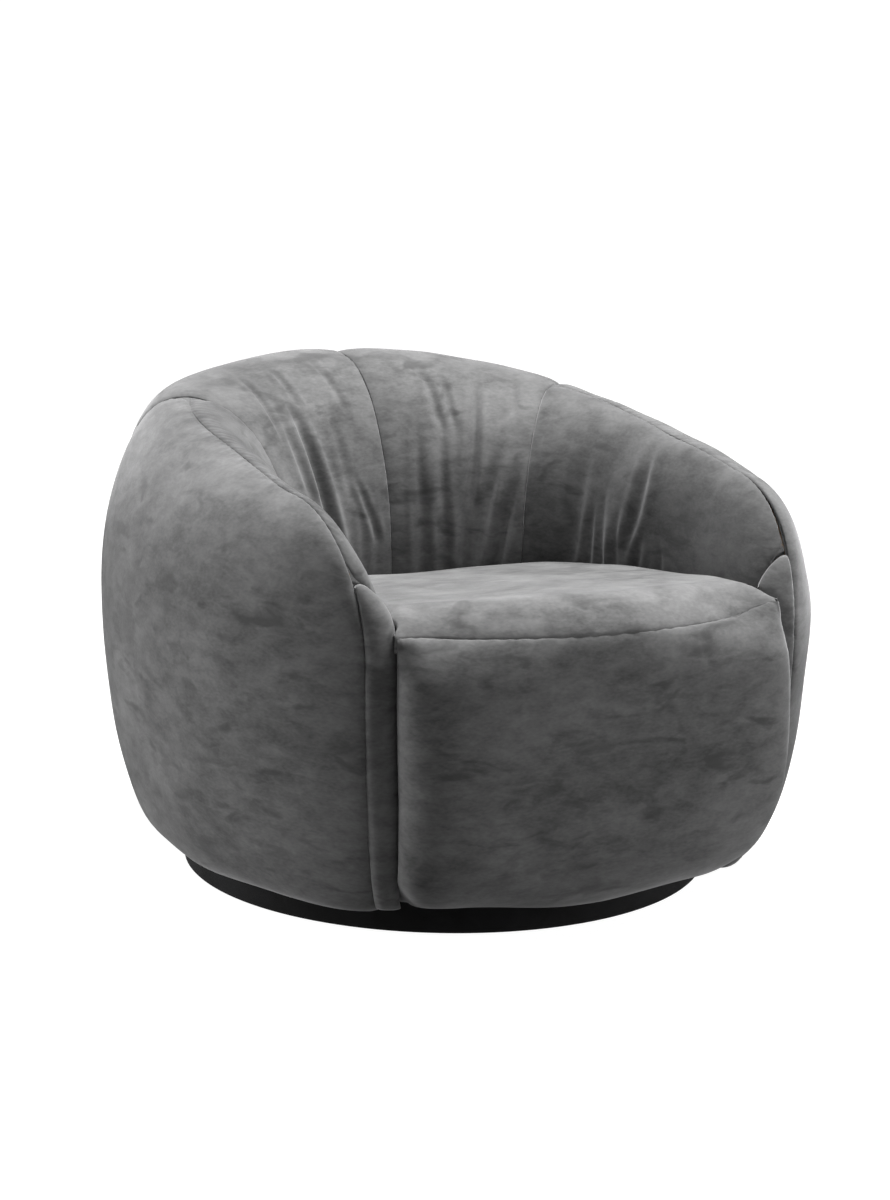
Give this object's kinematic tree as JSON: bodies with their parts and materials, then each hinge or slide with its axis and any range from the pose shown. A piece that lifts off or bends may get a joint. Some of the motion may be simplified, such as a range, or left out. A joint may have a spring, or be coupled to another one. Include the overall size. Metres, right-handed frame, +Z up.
{
  "type": "swivel tub chair",
  "caption": "Round upholstered tub chair with a deep crowned seat and wrap-round back and arms, turning without a stop on a low cloth-covered plinth",
  "frame": {"origin": "on the floor, on the swivel axis, under the middle glide pad", "axes": "+X to the right of someone who faces the chair, +Y to the back of the chair, +Z up; the front of the chair is at -Y"},
  "size_m": [0.9758, 1.1096, 0.7193],
  "materials": {
    "velvet": "matte",
    "foam": "matte",
    "hardboard": "satin",
    "plywood": "satin",
    "timber": "satin",
    "base_cloth": "matte",
    "glide_nylon": "matte",
    "bush_bronze": "satin",
    "zinc_steel": "satin",
    "spring_steel": "satin"
  },
  "bodies": {
    "base": {"glide_pads": "glide_nylon", "plinth_bottom_board": "plywood", "plinth_wall": "plywood", "plinth_struts": "timber", "plinth_top_board": "plywood", "plinth_cover": "base_cloth", "swivel_lower_plate": "zinc_steel", "lower_plate_screws": "zinc_steel", "pivot_bolt": "zinc_steel", "pivot_washer": "zinc_steel", "pivot_nut": "zinc_steel"},
    "bearing": {"ball_cage": "glide_nylon", "bearing_balls": "spring_steel"},
    "chair": {"arm_cover_left": "velvet", "arm_cover_right": "velvet", "arm_foam_left": "foam", "arm_foam_right": "foam", "arm_front_post_left": "plywood", "arm_front_post_right": "plywood", "arm_front_strip_left": "velvet", "arm_front_strip_right": "velvet", "arm_rib_front_left": "plywood", "arm_rib_front_right": "plywood", "arm_rib_rear_left": "plywood", "arm_rib_rear_right": "plywood", "back_board": "hardboard", "back_cover_left": "velvet", "back_cover_right": "velvet", "back_foam": "foam", "back_rib_centre": "plywood", "back_rib_side_left": "plywood", "back_rib_side_right": "plywood", "bottom_board": "plywood", "dust_cover": "base_cloth", "front_former_lower": "plywood", "front_former_upper": "plywood", "pivot_bush": "bush_bronze", "seat_back_rail": "timber", "seat_corner_blocks": "timber", "seat_foam": "foam", "seat_front_cover": "velvet", "seat_front_foam": "foam", "seat_front_rail": "timber", "seat_side_rail_left": "timber", "seat_side_rail_right": "timber", "seat_springs": "spring_steel", "seat_top_cover": "velvet", "side_board_left": "hardboard", "side_board_right": "hardboard", "side_cover_left": "velvet", "side_cover_right": "velvet", "spring_clips": "zinc_steel", "swivel_upper_plate": "zinc_steel", "top_rail": "plywood", "upper_plate_screws": "zinc_steel", "waist_rail": "plywood"}
  },
  "joints": [
    {"name": "swivel", "type": "hinge", "parent": "base", "child": "chair", "pos_m": [0, 0, 0.05415], "axis": [0, 0, 1], "continuous": true},
    {"name": "cage_spin", "type": "hinge", "parent": "base", "child": "bearing", "pos_m": [0, 0, 0.05415], "axis": [0, 0, 1], "continuous": true}
  ],
  "couplings": [
    {"joint": "cage_spin", "follows": "swivel", "ratio": 0.5}
  ]
}
